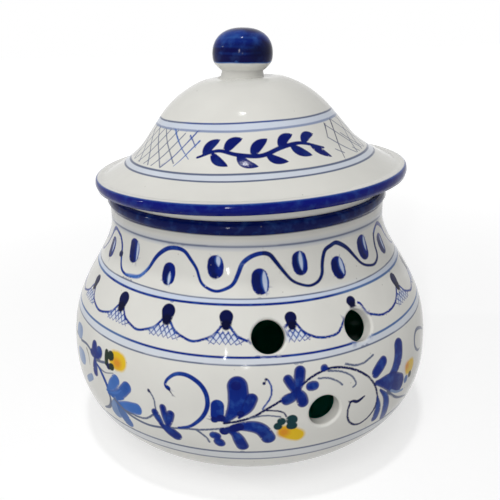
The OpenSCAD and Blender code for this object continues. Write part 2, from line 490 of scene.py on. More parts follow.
# Turn, top, foot and half width of each drop
DROPS = (
    (-65.2, 67.4, 62.4, 2.1), (-44.2, 67.9, 61.9, 2.45), (-25.3, 68.1, 62.2, 2.5), (-6.6, 68, 62.6, 2.25),
    (12.7, 66.9, 62, 2.0), (34.1, 67.8, 64.3, 1.9), (59.3, 68.1, 62.4, 2.2))
DROPS_BACK = 12
DROP_BACK = (68, 62.2, 2.35)
DROP_TILT = 0.2        # degrees by which a drop leans
DROP_POOL = (0.45, 0.72)       # height and half width of the pool in a drop, as shares of its own
# Points of a plain swag: turn from the drop at either end and height, and the height of its middle
SWAG = ((1.2, 63.6), (3.2, 61.2), (5.6, 59.9))
SWAG_LOW = 58.8
# Swags that the vents push out of shape, by the drop they start from
SWAGS = {
    12.7: ((14.2, 63.4), (16, 61), (18.5, 59.4), (21, 58.6), (24, 58.4), (26.5, 58.9), (28, 60.2),
           (29.6, 62)),
    34.1: ((36.6, 65.3), (37.4, 64.9), (38.2, 63.2), (38.9, 61.6), (41, 60.6), (44, 59.5), (47, 59.2),
           (51, 59.6), (54, 60.6), (56.5, 62.2), (58, 63.6)),
}
NO_NET = (34.1,)       # the drop that a vent cuts off
# Turn of the foot of each stroke of the net from its drop, and how far it leans
NET = (-4.6, -3.1, -1.5, 0.2, 1.7, 3.2, 4.7)
NET_LEAN = 2.4
NET_LOW = 58.5
NET_HIGH = 62
NET_TOP = ((1.2, 3.2, 5.6, 8), (63.4, 61.1, 59.8, 59))     # room under the swags by turn from the drop
NET_LEAST = 1          # mm of height below which a stroke of the net is left out
NET_WASH = ((-4.4, 59.9), (0, 60.5), (4.4, 59.9))

# Shape, ink, half width and points of each stroke, in the order of painting
FLOWERS = (
    # Leaves and sprig at the left
    ("oval", "haze", 2.9, (-69.5, 46.2), (-61.8, 47)),
    ("oval", "haze", 3.2, (-67, 37.4), (-58.4, 38.8)),
    ("oval", "haze", 1.4, (-58.8, 30.4), (-53.2, 35)),
    ("line", "slate", 0.5, (-63, 44.3), (-58, 45.3), (-54.5, 44.7), (-51.5, 43.8)),
    ("tip", "brown", 0.4, (-57.5, 43.8), (-55.8, 42), (-55, 38.6)),
    ("petal", "cobalt", 1.9, (-51.6, 43), (-52.2, 46), (-52, 49.3)),
    ("petal", "cobalt", 2.2, (-51.2, 43.2), (-49.6, 45.4), (-48.3, 48.2)),
    ("petal", "cobalt", 1.75, (-51.2, 44.4), (-51.3, 40), (-51.1, 36.1)),
    ("petal", "cobalt", 1.4, (-50.8, 43.6), (-54.6, 44.7)),
    ("line", "slate", 0.5, (-50.5, 42.8), (-48, 43.3), (-45.2, 44.2)),
    ("tip", "slate", 0.4, (-50, 41.3), (-46, 40.3), (-41.7, 41.8)),
    # Bud of the left flower
    ("oval", "yellow", 3.5, (-44.2, 46.9), (-36.2, 46.8)),
    ("oval", "orange", 1.7, (-42, 46.2), (-38.4, 46)),
    ("oval", "green", 1.1, (-45.3, 49.2), (-45.1, 46), (-44.7, 43)),
    ("oval", "green", 1.9, (-44.8, 47.4), (-41.6, 47.6)),
    ("oval", "ink", 1.2, (-45, 43.6), (-42.8, 43.2)),
    ("oval", "green", 1.4, (-43.8, 43.6), (-41.2, 44)),
    # Vine and light leaves under it
    ("swell", "blue", 0.8, (-50.5, 41.6), (-48.5, 40.2), (-46.3, 37.6), (-44.8, 34.8), (-44, 31)),
    ("swell", "slate", 0.7, (-44.2, 33), (-44, 30), (-45.3, 26.8), (-49, 24.1)),
    ("petal", "sky", 2.2, (-45.2, 33.7), (-42.6, 36.8), (-39.7, 41.3)),
    ("petal", "azure", 2.2, (-44.6, 32.8), (-39.4, 35), (-35, 40.5)),
    ("leaf", "azure", 1.3, (-45.2, 33.6), (-41.5, 33), (-37.6, 33.8)),
    ("leaf", "sky", 0.5, (-44, 33.4), (-40.6, 34.8), (-38.6, 36.7)),
    ("petal", "sky", 2.3, (-41.6, 30.4), (-36.5, 31.2), (-31, 32.3)),
    ("petal", "haze", 2.6, (-41.4, 32.4), (-42, 28), (-42.2, 23.6)),
    ("petal", "dusk", 2.4, (-41, 32), (-39.2, 27.5), (-37, 21.8)),
    ("line", "slate", 0.5, (-42, 31.8), (-39, 29.7), (-35, 27.8), (-29.5, 26.9), (-24.2, 27.7)),
    ("line", "slate", 0.4, (-38, 29.2), (-32.5, 28.9), (-29.5, 29.7), (-27, 32.2)),
    ("line", "slate", 0.35, (-26.2, 34), (-26.5, 37.6), (-27.4, 39.8), (-28.3, 40.9)),
    ("oval", "ink", 0.55, (-28.5, 41.4), (-27.9, 40)),
    # Small dark sprig
    ("petal", "cobalt", 1.4, (-23.7, 27.6), (-25.3, 30.6), (-27.1, 34.4)),
    ("petal", "cobalt", 1.3, (-22.9, 27.8), (-23.4, 32.4), (-24.1, 37.1)),
    ("petal", "cobalt", 1.5, (-23.1, 27.6), (-22.1, 31.6), (-21.3, 35.4)),
    ("petal", "cobalt", 2.2, (-25.2, 29), (-22.4, 27), (-19.3, 24.2)),
    ("line", "slate", 0.4, (-21.5, 28.6), (-17, 29.5), (-13, 30), (-9, 30.9), (-4, 32)),
    # Scroll
    ("swell", "cobalt", 0.8, (-19.5, 29.3), (-16.5, 30.5), (-14.5, 32.3), (-12.5, 35), (-11.3, 38), (-11, 41),
     (-11.6, 44), (-13.2, 46.5), (-15.8, 48.3), (-18.2, 48.8), (-20.4, 48.2), (-22.3, 46.3), (-23, 44.5),
     (-22.6, 43.4)),
    ("oval", "cobalt", 0.75, (-23, 44), (-21.3, 42.8)),
    ("tip", "ink", 0.4, (-21.9, 43), (-20.9, 41.5)),
    ("line", "slate", 0.4, (-14.5, 29.7), (-13, 28.4), (-11.6, 26.6), (-11.1, 25)),
    # Large dark leaves
    ("petal", "cobalt", 3.4, (-6.4, 34), (-3.7, 39), (-2.9, 43), (-3.4, 49.6)),
    ("line", "cobalt", 2.2, (-8.5, 35.9), (-8.4, 39.5)),
    ("oval", "navy", 1.1, (-10.4, 34.6), (-8.6, 34.4)),
    ("oval", "navy", 1.3, (-8.8, 35), (-6.2, 35.2)),
    ("petal", "cobalt", 2.0, (-2.8, 35.6), (-0.6, 39), (1.2, 44)),
    ("oval", "navy", 1.2, (-3.4, 36.7), (-1.3, 37.2)),
    ("petal", "cobalt", 2.4, (-6.5, 31.2), (-1, 32.4), (3, 31), (5.7, 25.5)),
    ("petal", "cobalt", 2.1, (-6.2, 30.8), (-3.7, 28.8), (-1.5, 22.3)),
    ("oval", "cobalt", 1.6, (-11, 28.6), (-7.6, 27.8)),
    ("oval", "cobalt", 1.9, (-9.4, 27.2), (-7.2, 23.6)),
    ("oval", "navy", 1.6, (-8.2, 30.2), (-5.4, 30.4)),
    ("petal", "navy", 1.5, (-6.5, 30.8), (-1.6, 32.6)),
    ("oval", "navy", 1.5, (-4.9, 46.4), (-2, 46.6)),
    ("oval", "navy", 0.8, (-10.2, 33.9), (-8.2, 34.3)),
    # Main stem, from the large leaves over the vents and down in a scroll at the right
    ("line", "ink", 0.42, (-6.8, 33.3), (-3, 34.3), (1, 36), (4, 38.2), (7, 40.3), (10, 42.5), (13, 44.8),
     (16, 47.2), (19, 48.6), (22, 49.2), (25, 48.8), (28, 47.6), (31, 45.7), (34, 42.8), (36, 39.8),
     (37.3, 36.5), (37.8, 33), (37.3, 30), (36, 27.5), (34, 25.8), (32, 25.2), (30, 25.9), (28.2, 27.8),
     (27.3, 30.5), (27.3, 33), (28, 35.4)),
    ("swell", "ink", 0.6, (27.8, 35.8), (29, 35.7), (30.5, 35), (32.9, 36)),
    ("line", "blue", 0.32, (3.3, 38.6), (5.3, 42.2), (5.8, 45), (5.3, 47.4), (4.5, 48.6)),
    ("oval", "ink", 0.55, (4.8, 48.6), (3.9, 48.2)),
    ("oval", "ink", 0.6, (4.1, 47.5), (3.6, 46.9)),
    ("line", "ink", 0.3, (4.5, 38), (7.2, 37.6), (8.9, 36.7), (9.5, 35.3)),
    ("line", "slate", 0.3, (0, 35.4), (4, 36.2), (8, 35.4)),
    ("petal", "cobalt", 1.6, (12.2, 42.4), (11, 46), (9.5, 49.2)),
    ("petal", "cobalt", 1.95, (12.8, 42.8), (13.2, 47), (13.8, 51.7)),
    ("petal", "cobalt", 1.9, (12.6, 44), (11.2, 42), (8.2, 40.6)),
    ("petal", "cobalt", 2.0, (12.6, 44.6), (13.6, 41.6), (14.3, 37.9)),
    ("oval", "cobalt", 1.75, (14.8, 44.7), (18.7, 44.7)),
    ("oval", "cobalt", 1.35, (19.3, 49.7), (21.6, 49.7)),
    ("line", "slate", 0.34, (18.5, 46.8), (21.5, 46.2), (24, 44.5), (25.5, 42.8)),
    ("line", "slate", 0.34, (21.5, 48.5), (25, 47.5), (28.3, 45.2), (29.8, 42.4), (29.7, 41.4), (28.8, 40.9)),
    ("line", "slate", 0.38, (27.1, 49.3), (30, 48), (33, 47.8), (36.8, 49.1)),
    # Hanging bud left of the low vent
    ("oval", "yellow", 2.7, (7.2, 30.8), (14.6, 26.4)),
    ("oval", "orange", 1.9, (7.4, 30), (10.4, 28.8)),
    ("oval", "teal", 1.5, (6.2, 31.9), (8.4, 32)),
    ("oval", "teal", 1.5, (7.2, 33.7), (9.2, 33.5)),
    ("oval", "teal", 2.0, (9.4, 33.6), (12.6, 34)),
    ("oval", "teal", 1.4, (9.4, 31.8), (12.6, 31.4)),
    # Leaves and bud at the right
    ("oval", "cobalt", 2.35, (35.8, 41.6), (41.8, 46.6)),
    ("petal", "cobalt", 2.7, (40, 37.6), (44.6, 39.4), (47.4, 43.4), (48.6, 50.2)),
    ("petal", "cobalt", 3.7, (37.4, 39), (43, 36.8), (50.4, 32)),
    ("petal", "blue", 1.7, (38, 33.4), (38.6, 28), (38.2, 22.8)),
    ("petal", "blue", 1.9, (39, 35.6), (41.8, 30.8), (43, 21)),
    ("line", "slate", 0.5, (42.2, 33.2), (45.5, 29.8), (49, 27.1), (56, 23.6)),
    ("line", "haze", 0.5, (44, 32.8), (47, 30.6), (51, 29.2)),
    ("oval", "yellow", 2.9, (51.4, 36.9), (58, 36.2)),
    ("oval", "orange", 1.6, (51.4, 38), (54, 37.4)),
    ("oval", "dusk", 1.6, (51, 32.8), (53.6, 32.6)),
    ("oval", "green", 1.3, (53.8, 33.4), (56.2, 33)),
    ("swell", "slate", 0.7, (70, 43), (66, 45.5), (62, 47), (59.5, 46), (58.7, 43.5), (59.5, 41), (62, 38.8),
     (64, 38.3)),
)
FLOWER_TURNS = (180, 0)        # turn of each copy of the flowers

# Spray between the front and the back pattern
SIDE_SPRAY = (
    ("line", "ink", 0.42, (-19, 30), (-12, 26.5), (-4, 27.5), (3, 32), (8, 38), (14, 43), (20, 44)),
    ("petal", "cobalt", 2.6, (-4, 28), (-6.6, 34), (-7.5, 41)),
    ("petal", "cobalt", 2.1, (-3, 28), (-0.4, 34), (-0.5, 40)),
    ("petal", "blue", 1.9, (2, 31.5), (7, 29.5), (11, 25)),
    ("petal", "sky", 2.1, (-9, 27), (-13.5, 33), (-14.5, 38.5)),
    ("petal", "sky", 1.8, (-12, 27), (-17, 25.5), (-20, 22.5)),
    ("petal", "cobalt", 1.9, (8, 37.4), (7, 43), (9, 48.5)),
    ("petal", "cobalt", 1.8, (10, 40), (15, 38), (18, 34)),
    ("line", "slate", 0.4, (14, 43), (16, 47), (13.5, 49.5), (11.5, 48.5)),
    ("oval", "yellow", 2.9, (-13, 45.4), (-5.6, 45.2)),
    ("oval", "orange", 1.5, (-12, 44.6), (-8.8, 44.4)),
    ("oval", "green", 1.5, (-12.6, 42), (-9.6, 41.8)),
    ("oval", "teal", 1.2, (-9.2, 41.8), (-7, 42)),
)
SPRAY_TURNS = (92, -88)

# Darker ink in which a petal of each ink ends
POOLS = {"cobalt": "navy", "blue": "navy", "azure": "blue", "sky": "azure", "dusk": "azure", "haze": "dusk"}
POOL_EDGE = 0.8        # strength of the darker edge
# Length of the pool at each end of a petal as a share of its half width or of its first part, then the pool's
# half width and softness as shares of the half width, and its strength
POOL_TIP = (2.2, 0.7, 1.2, 0.55)
POOL_ROOT = (0.5, 0.5, 0.8, 0.5)
# How softly the wet yellow spreads into the glaze, in mm
SPREAD = {"yellow": 1.1, "orange": 1.9}

# Lower and upper edge of each band, ink, softness, strength, waver, whether the mesh follows it, its turns
JAR_BANDS = (
    (69.2, 70.9, "wash", 0.8, 0.95, 0.1, False),
    (52.6, 55, "wash", 0.8, 0.6, 0.1, False),
    (16.9, 20.9, "wash", 1.2, 0.35, 0.1, False),
    (85.6, 87.2, "mist", 1.0, 0.5, 0.1, False),
    (86.15, 86.85, "slate", 0.5, 0.9),
    (70.7, 71.1, "slate", SOFT, 1.0, 0.15),
    (68.85, 69.55, "dusk", SOFT, 1.0, 0.12),
    (68.85, 69.55, "cobalt", SOFT, 1.0, 0.12, False, (-62, 33)),
    (68.85, 69.55, "cobalt", SOFT, 1.0, 0.12, False, (120, 230)),
    (54.65, 55.35, "dusk", SOFT, 1.0, 0.14),
    (54.65, 55.35, "cobalt", SOFT, 1.0, 0.14, False, (-40, 34)),
    (54.65, 55.35, "cobalt", SOFT, 1.0, 0.14, False, (90, 250)),
    (52.35, 52.85, "slate", SOFT, 1.0, 0.15),
    (20.5, 21.3, "slate", 0.5),
    (16.5, 17.3, "slate", 0.5, 0.8),
    (90.3, OVER_TOP, "lip", 0.5),
)


def spread(start, end, count):
    return [start + (end - start) * i / count for i in range(count + 1)]


def wave_behind():
    """Points of the wave where the photo shows nothing, with the same full crests and steep flanks."""
    first, last, waves = WAVE_BACK
    points = [WAVE_FRONT[-1], *WAVE_JOIN]
    for u in spread(0, waves, WAVE_STEPS * waves)[2:]:
        phase = math.pi / 2 + 2 * math.pi * u
        swing = math.sin(phase) * (1 + WAVE_STEEP * math.cos(phase) ** 2)
        points.append((first + (last - first) * u / waves, WAVE_MIDDLE + WAVE_RISE * swing))
    turn, z = WAVE_FRONT[0]
    return points + [(turn + 360, z)]


def wave_marks(skin):
    """The wave, thicker on its crests, with an oval in each hollow."""
    marks = []
    again = WAVE_FRONT[WAVE_DARK:]
    for points, ink, strength in (
            (WAVE_FRONT, "cobalt", 1.0), (wave_behind(), "cobalt", 1.0), (again, "night", 0.6)):
        half = np.interp([z for _, z in points], *WAVE_HALF)
        marks.append(Stroke(skin, "line", ink, half, points, strength=strength))
    first, last, waves = WAVE_BACK
    for i, turn in enumerate(spread(first, last, 2 * waves)[1:-1]):
        z = OVAL_LEVELS[i % 2]
        marks += oval_marks(skin, turn, z, *OVAL_SIZE, turn + 1, z, *OVAL_STREAK)
    for oval in OVALS:
        marks += oval_marks(skin, *oval)
    for shape, ink, half, soft, strength, *points in WAVE_TOUCHES:
        marks.append(Stroke(skin, shape, ink, half, points, soft, strength))
    return marks


def oval_marks(skin, turn, z, wide, tall, pale_turn, pale_z, pale_wide, pale_tall):
    """An upright oval, blackish at its left and foot, with a streak where the brush left the glaze bare."""
    half = math.radians(wide) * float(skin.radius(skin.along(z)))
    body = [(turn - OVAL_TILT, z + tall), (turn + OVAL_TILT, z - tall)]
    pale = [(pale_turn, pale_z + pale_tall), (pale_turn + OVAL_TILT, pale_z - pale_tall)]
    marks = [Stroke(skin, "oval", "royal", half, body)]
    for share, ends, soft, strength in OVAL_DARK:
        dark = [(turn + across * wide, z + up * tall) for across, up in ends]
        marks.append(Stroke(skin, "oval", "night", share * half, dark, soft, strength))
    for ink, share, soft, strength in OVAL_PALE:
        marks.append(Stroke(skin, "leaf", ink, share * pale_wide, pale, soft, strength))
    return marks


def swag(t0, t1):
    """Points of a plain swag between the drops at two turns."""
    down = [(t0 + t, z) for t, z in SWAG]
    rise = [(t1 - t, z) for t, z in SWAG[::-1]]
    return down + [((t0 + t1) / 2, SWAG_LOW)] + rise


def net_marks(skin, turn):
    """Crossing strokes over a pale wash that stop at the swags above them."""
    wash = [(turn + t, z) for t, z in NET_WASH]
    marks = [Stroke(skin, "oval", "wash", 1.3, wash, soft=1.4, strength=0.7)]
    for foot in NET:
        for slant in (-1, 1):
            head = foot + slant * NET_LEAN
            high = min(NET_HIGH, np.interp(abs(head), *NET_TOP))
            if high > NET_LOW + NET_LEAST:
                marks.append(Stroke(skin, "tip", "blue", 0.24, [(turn + head, high), (turn + foot, NET_LOW)]))
    return marks


def festoon_marks(skin):
    """Drops joined by swags, with a small net of cross strokes under each drop."""
    behind = spread(DROPS[-1][0], DROPS[0][0] + 360, DROPS_BACK)[1:-1]
    drops = DROPS + tuple((t, *DROP_BACK) for t in behind)
    rise, share = DROP_POOL
    marks = []
    for (t0, top, foot, half), (t1, *_) in zip(drops, drops[1:] + ((DROPS[0][0] + 360,),)):
        if t0 not in NO_NET:
            marks += net_marks(skin, t0)
        marks.append(Stroke(skin, "line", "cobalt", 0.42, SWAGS.get(t0, swag(t0, t1))))
        marks.append(Stroke(skin, "drop", "deep", half, [(t0, top), (t0 + DROP_TILT, foot)]))
        pool = [(t0 + DROP_TILT / 2, foot + rise * (top - foot)), (t0 + DROP_TILT, foot)]
        marks.append(Stroke(skin, "drop", "night", share * half, pool, soft=0.9, strength=0.9))
    return marks


def pooled(skin, shape, ink, half, points):
    """A stroke, and for a full petal its darker edge and the pools of pigment at its two ends."""
    if shape not in ("petal", "oval") or half <= WIDE or ink not in POOLS:
        return [Stroke(skin, shape, ink, half, points, SPREAD.get(ink, SOFT))]
    outline = Stroke(skin, shape, POOLS[ink], half, points, strength=POOL_EDGE)
    marks = [outline, Stroke(skin, shape, ink, half - EDGE, points, 2 * EDGE, inside=outline)]
    if shape == "oval":
        return marks
    (t0, z0), (t1, z1) = points[-2:]
    back = min(1, POOL_TIP[0] * half / math.dist(points[-2], points[-1]))
    tip = [(t1 + (t0 - t1) * back, z1 + (z0 - z1) * back), (t1, z1)]
    root = [points[0], tuple(np.add(points[0], np.subtract(points[1], points[0]) * POOL_ROOT[0]))]
    for form, line, (_, share, soft, strength) in (("oval", tip, POOL_TIP), ("tip", root, POOL_ROOT)):
        marks.append(Stroke(skin, form, POOLS[ink], share * half, line, soft * half, strength, outline))
    return marks


def flower_marks(skin):
    marks = []
    for pattern, turns in ((SIDE_SPRAY, SPRAY_TURNS), (FLOWERS, FLOWER_TURNS)):
        for turn in turns:
            for shape, ink, half, *points in pattern:
                marks += pooled(skin, shape, ink, half, [(t + turn, z) for t, z in points])
    return marks


def jar_marks(skin):
    bands = [level_band(skin, *band) for band in JAR_BANDS]
    return bands + wave_marks(skin) + festoon_marks(skin) + flower_marks(skin)


# The pattern of the lid

LATTICE = (61, 323)    # turns between which the lattice runs
LATTICE_Z = (109, 120)
LATTICE_LEAST = 0.12   # share of a line below which it is left out
LATTICE_HALF = 0.24
LATTICE_STEPS = 4
# First and last foot of the lines in degrees, gaps between them, degrees gained on the way up
RISING = (61, 316.5, 36, 14.5)
FALLING = (42, 304, 27, -22)
LID_BANDS = (
    (120.1, 122.4, "wash", 0.8, 0.8, 0.1, False),
    (106.6, 108.2, "wash", 0.8, 0.7, 0.1, False),
    (122.1, 122.6, "slate"),
    (122.1, 122.6, "blue", SOFT, 0.6, 0.1, False, (-45, 25)),
    (119.8, 120.5, "mist"),
    (107.95, 108.45, "slate"),
    (106.4, 106.8, "slate"),
)
LATTICE_EDGE = (
    # Strokes at the two ends of the lattice, beside the open field
    ("tip", "blue", 0.34, (-29, 120), (-36.2, 114.6), (-43.5, 109.4)),
    ("tip", "azure", 0.34, (-25.8, 117.4), (-31, 113.8), (-36.2, 109.8)),
    ("tip", "azure", 0.36, (-46, 120), (-38, 116), (-29.5, 112)),
    ("tip", "blue", 0.34, (-33, 118.8), (-30, 117.2), (-27.4, 115.4)),
    ("tip", "ink", 0.34, (51.8, 119.2), (49.4, 117.2), (46.8, 115)),
    ("tip", "ink", 0.36, (60.4, 119.8), (54, 114.6), (47.8, 108.8)),
    ("line", "slate", 0.24, (47.4, 115.2), (54, 111.9), (60, 109)),
    ("line", "slate", 0.24, (51.8, 118.8), (60, 114.6), (70, 109.4)),
    ("line", "slate", 0.24, (47, 111.6), (50.8, 110)),
)

BRANCH = (
    # Leafy branch in the open field at the front of the lid
    ("swell", "navy", 0.8, (-25, 112.6), (-15, 114.6), (-5, 113.4), (6, 112.8), (17, 114.6), (28, 115.2),
     (40, 112.8)),
    ("leaf", "navy", 1.7, (-22, 113.2), (-19.5, 116), (-14.5, 117.8)),
    ("leaf", "navy", 1.6, (-18, 114), (-14.5, 111.8), (-9.5, 110.4)),
    ("leaf", "navy", 1.8, (-11, 114.2), (-8, 116.8), (-2.5, 118)),
    ("leaf", "navy", 1.7, (-5, 113.4), (-1.5, 111), (4, 110)),
    ("leaf", "navy", 1.8, (2, 112.9), (5, 115.6), (10.5, 117.4)),
    ("leaf", "navy", 1.6, (9, 113.2), (12.5, 111.4), (18, 110.6)),
    ("leaf", "navy", 1.7, (16, 114.4), (19.5, 117), (25, 118)),
    ("leaf", "navy", 1.7, (22, 115), (26, 112.8), (31, 111.4)),
    ("leaf", "navy", 1.6, (29, 115.1), (33, 117), (38, 117.2)),
    ("leaf", "navy", 1.5, (33, 114.4), (37, 112), (41, 110)),
)


def lattice_marks(skin):
    """Crossing lines round the lid, cut off at the two ends of the lattice."""
    marks = []
    for first, last, gaps, gain in (RISING, FALLING):
        foot_z, head_z = LATTICE_Z if gain > 0 else LATTICE_Z[::-1]
        for foot in spread(first, last, gaps):
            u0 = max(0, (LATTICE[0] - foot) / abs(gain))
            u1 = min(1, (LATTICE[1] - foot) / abs(gain))
            if u1 - u0 < LATTICE_LEAST:
                continue
            steps = spread(u0, u1, LATTICE_STEPS)
            run = [(foot + abs(gain) * u, foot_z + (head_z - foot_z) * u) for u in steps]
            marks.append(Stroke(skin, "line", "slate", LATTICE_HALF, run))
    return marks


def lid_marks(skin):
    bands = [level_band(skin, *band) for band in LID_BANDS]
    strokes = [Stroke(skin, shape, ink, half, points) for shape, ink, half, *points in LATTICE_EDGE + BRANCH]
    return bands + lattice_marks(skin) + strokes


def rim_marks(skin):
    """Cobalt on the face of the rim between its two corners, and a paler blue edge of it above."""
    turns = np.linspace(*RIM_TURNS, RIM_POINTS)
    top, foot = np.interp(RIM_BLUE, turns[::-1], skin.s[-RIM_POINTS:][::-1])
    return [Band(top, foot, "rim", soft=0.4), Band(top, top + RIM_PALE_EDGE, "azure", soft=0.5, strength=0.55)]


# Meshes

def add_object(name, data):
    made = bpy.data.objects.new(name, data)
    bpy.context.collection.objects.link(made)
    return made


class Shell:
    """Gathers the parts of one piece and welds them into a mesh."""

    def __init__(self):
        self.verts, self.norms, self.paint, self.faces, self.uvs, self.slots = [], [], [], [], [], []
        self.count = 0

    def add(self, verts, norms, paint, faces, uvs, slot=0):
        self.verts.append(verts)
        self.norms.append(norms)
        self.paint.append(np.broadcast_to(paint, (len(verts), 4)))
        self.faces += [tuple(f) for f in (np.asarray(faces) + self.count).tolist()]
        self.uvs += np.asarray(uvs).tolist()
        self.slots += [slot] * len(faces)
        self.count += len(verts)

    def build(self, name, move, materials):
        verts, norms = np.concatenate(self.verts), np.concatenate(self.norms)
        key = np.round(verts / WELD + WELD_SHIFT).astype(np.int64)
        _, first, index = np.unique(key, axis=0, return_index=True, return_inverse=True)
        index = index.ravel()
        verts, norms, paint = verts[first], norms[first], np.concatenate(self.paint)[first]
        faces, uvs, slots = [], [], []
        for face, uv, slot in zip(self.faces, self.uvs, self.slots):
            ids = [int(index[i]) for i in face]
            keep = [k for k in range(len(ids)) if ids[k] != ids[k - 1]]
            if len({ids[k] for k in keep}) < 3:
                continue
            a, b, c = (verts[ids[k]] for k in keep[:3])
            if np.dot(np.cross(b - a, c - a), norms[[ids[k] for k in keep]].sum(0)) < 0:
                keep.reverse()
            faces.append([ids[k] for k in keep])
            uvs += [uv[k] for k in keep]
            slots.append(slot)
        mesh = bpy.data.meshes.new(name)
        mesh.from_pydata((move(verts) * MM).tolist(), [], faces)
        mesh.shade_smooth()
        mesh.polygons.foreach_set("material_index", slots)
        colour = mesh.attributes.new("Paint", "FLOAT_COLOR", "POINT")
        colour.data.foreach_set("color", paint.ravel())
        layer = mesh.uv_layers.new(name="OFBake")
        layer.uv.foreach_set("vector", np.array(uvs).ravel())
        mesh.normals_split_custom_set_from_vertices(norms.tolist())
        for material in materials:
            mesh.materials.append(material)
        return add_object(name, mesh)


def grid_faces(rows, columns, steps, v):
    """Faces of rows of points, with steps faces in a round, and their UVs; v is the place of each row."""
    i, j = np.meshgrid(np.arange(rows - 1), np.arange(steps), indexing="ij")
    i, j = i.ravel(), j.ravel()
    corners = ((0, 0), (0, 1), (1, 1), (1, 0))
    faces = np.stack([(i + a) * columns + (j + b) % columns for a, b in corners], 1)
    across = np.stack([UV_MARGIN + (1 - 2 * UV_MARGIN) * (j + b) / steps for _, b in corners], 1)
    up = np.stack([v[i + a] for a, _ in corners], 1)
    return faces, np.stack([across, up], -1)


def add_lathe(shell, profile, side, paint, uv_rows, slot=0):
    """Turned part without a pattern; paint is one colour or one for each row of points."""
    skin = Skin(profile, side)
    grid_t, grid_s = np.meshgrid(np.linspace(-180, 180, COLUMNS + 1), skin.s)
    rows, columns = grid_t.shape
    paint = np.asarray(paint, float)
    if paint.ndim == 2:
        paint = np.repeat(paint, columns, axis=0)
    v = np.interp(skin.s, [0, skin.length], uv_rows)
    faces, uvs = grid_faces(rows, columns, COLUMNS, v)
    turn, s = grid_t.ravel(), grid_s.ravel()
    shell.add(skin.points(turn, s), skin.normals(turn, s), paint, faces, uvs, slot)


class Hole:
    """A round vent on a skin, with its ring of points at any distance from its middle."""

    def __init__(self, skin, turn, s, radius):
        self.skin, self.turn, self.s, self.radius = skin, turn, s, radius
        self.r = float(skin.radius(s))
        self.up = np.sign(skin.z[-1] - skin.z[0])
        self.angle = np.arange(VENT_CORNERS) * 2 * np.pi / VENT_CORNERS

    def ring(self, radius):
        turn = self.turn + np.degrees(radius * np.cos(self.angle) / self.r)
        return turn, self.s + self.up * radius * np.sin(self.angle)

    def off(self, turn, s):
        return np.hypot(np.radians(wrap(turn - self.turn)) * self.r, s - self.s)


def thin_out(points, size, taken):
    """Drops points that share a small cell with one kept before."""
    kept = []
    for p, key in zip(points, cells(points, size)):
        if key not in taken:
            taken.add(key)
            kept.append(p)
    return np.array(kept).reshape(-1, 2)


def cells(points, size):
    return map(tuple, np.floor(points / size).astype(int))


def skin_points(skin, marks, holes):
    """Points of a painted surface as (turn, s): edges and vents first, then strokes, then an even grid."""
    turn = np.linspace(SEAM, SEAM + 360, COLUMNS + 1)
    rows = np.linspace(0, skin.length, int(skin.length / GRID_STEP) + 1)
    scale = np.array([math.radians(1) * skin.middle_r, 1])
    fixed = [np.stack([turn, 0 * turn + s], 1) for s in (0, skin.length)]
    slit = np.linspace(0, skin.length, int(skin.length / SEAM_STEP) + 1)[1:-1]
    fixed += [np.stack([0 * slit + t, slit], 1) for t in (SEAM, SEAM + 360)]
    fixed += [np.stack([from_seam(t), s], 1) for t, s in (h.ring(h.radius) for h in holes)]
    fixed = np.concatenate(fixed)
    finest_first = sorted((m for m in marks if m.seeded), key=lambda m: m.widest)
    seeds = np.concatenate([np.zeros((0, 2))] + [m.seeds() for m in finest_first])
    seeds[:, 0] = from_seam(seeds[:, 0])
    grid = np.stack(np.meshgrid(turn[1:-1], rows[1:-1]), -1).reshape(-1, 2)

    def clear(points, margin):
        good = np.abs(points[:, 0] - SEAM - 180) < 180 - SEAM_CLEAR
        good &= (points[:, 1] > margin) & (points[:, 1] < skin.length - margin)
        for h in holes:
            good &= h.off(points[:, 0], points[:, 1]) > h.radius + margin
        return points[good]

    seeds = thin_out(clear(seeds, SEED_CELL) * scale, SEED_CELL, set(cells(fixed * scale, SEED_CELL)))
    grid = thin_out(clear(grid, GRID_CLEAR) * scale, GRID_CELL, set(cells(seeds, GRID_CELL)))
    return np.concatenate([fixed, seeds / scale, grid / scale]), scale


def add_painted(shell, skin, marks, holes, uv_rows, base=None):
    """A painted surface with vents, its mesh drawn round the strokes; base is one colour for all of it."""
    flat, scale = skin_points(skin, marks, holes)
    coords = [Vector(p) for p in (flat * scale).tolist()]
    _, _, triangles, sources, *_ = delaunay_2d_cdt(coords, [], [], 0, MERGE)
    place = np.array([ids[0] for ids in sources])
    faces = place[np.array(triangles)]
    middle = flat[faces].mean(1)
    keep = np.ones(len(faces), bool)
    for h in holes:
        inner_r = h.radius * math.cos(math.pi / VENT_CORNERS) - VENT_SLACK
        keep &= h.off(middle[:, 0], middle[:, 1]) > inner_r
    faces, middle = faces[keep], middle[keep]
    turn, s = flat.T
    paint = apply_paint(marks, turn, s) if base is None else base
    corner_t, corner_s = turn[faces], s[faces]
    front = middle[:, :1] < SEAM + 180
    corner_t = np.where(front, corner_t, corner_t - 180)
    low, high, gap = uv_rows
    half = (high - low - gap) / 2
    start = np.where(front, low, low + half + gap)
    uvs = np.stack([0.5 + corner_t / 90 * UV_HALF, start + half * corner_s / skin.length], -1)
    shell.add(skin.points(turn, s), skin.normals(turn, s), paint, faces, uvs)


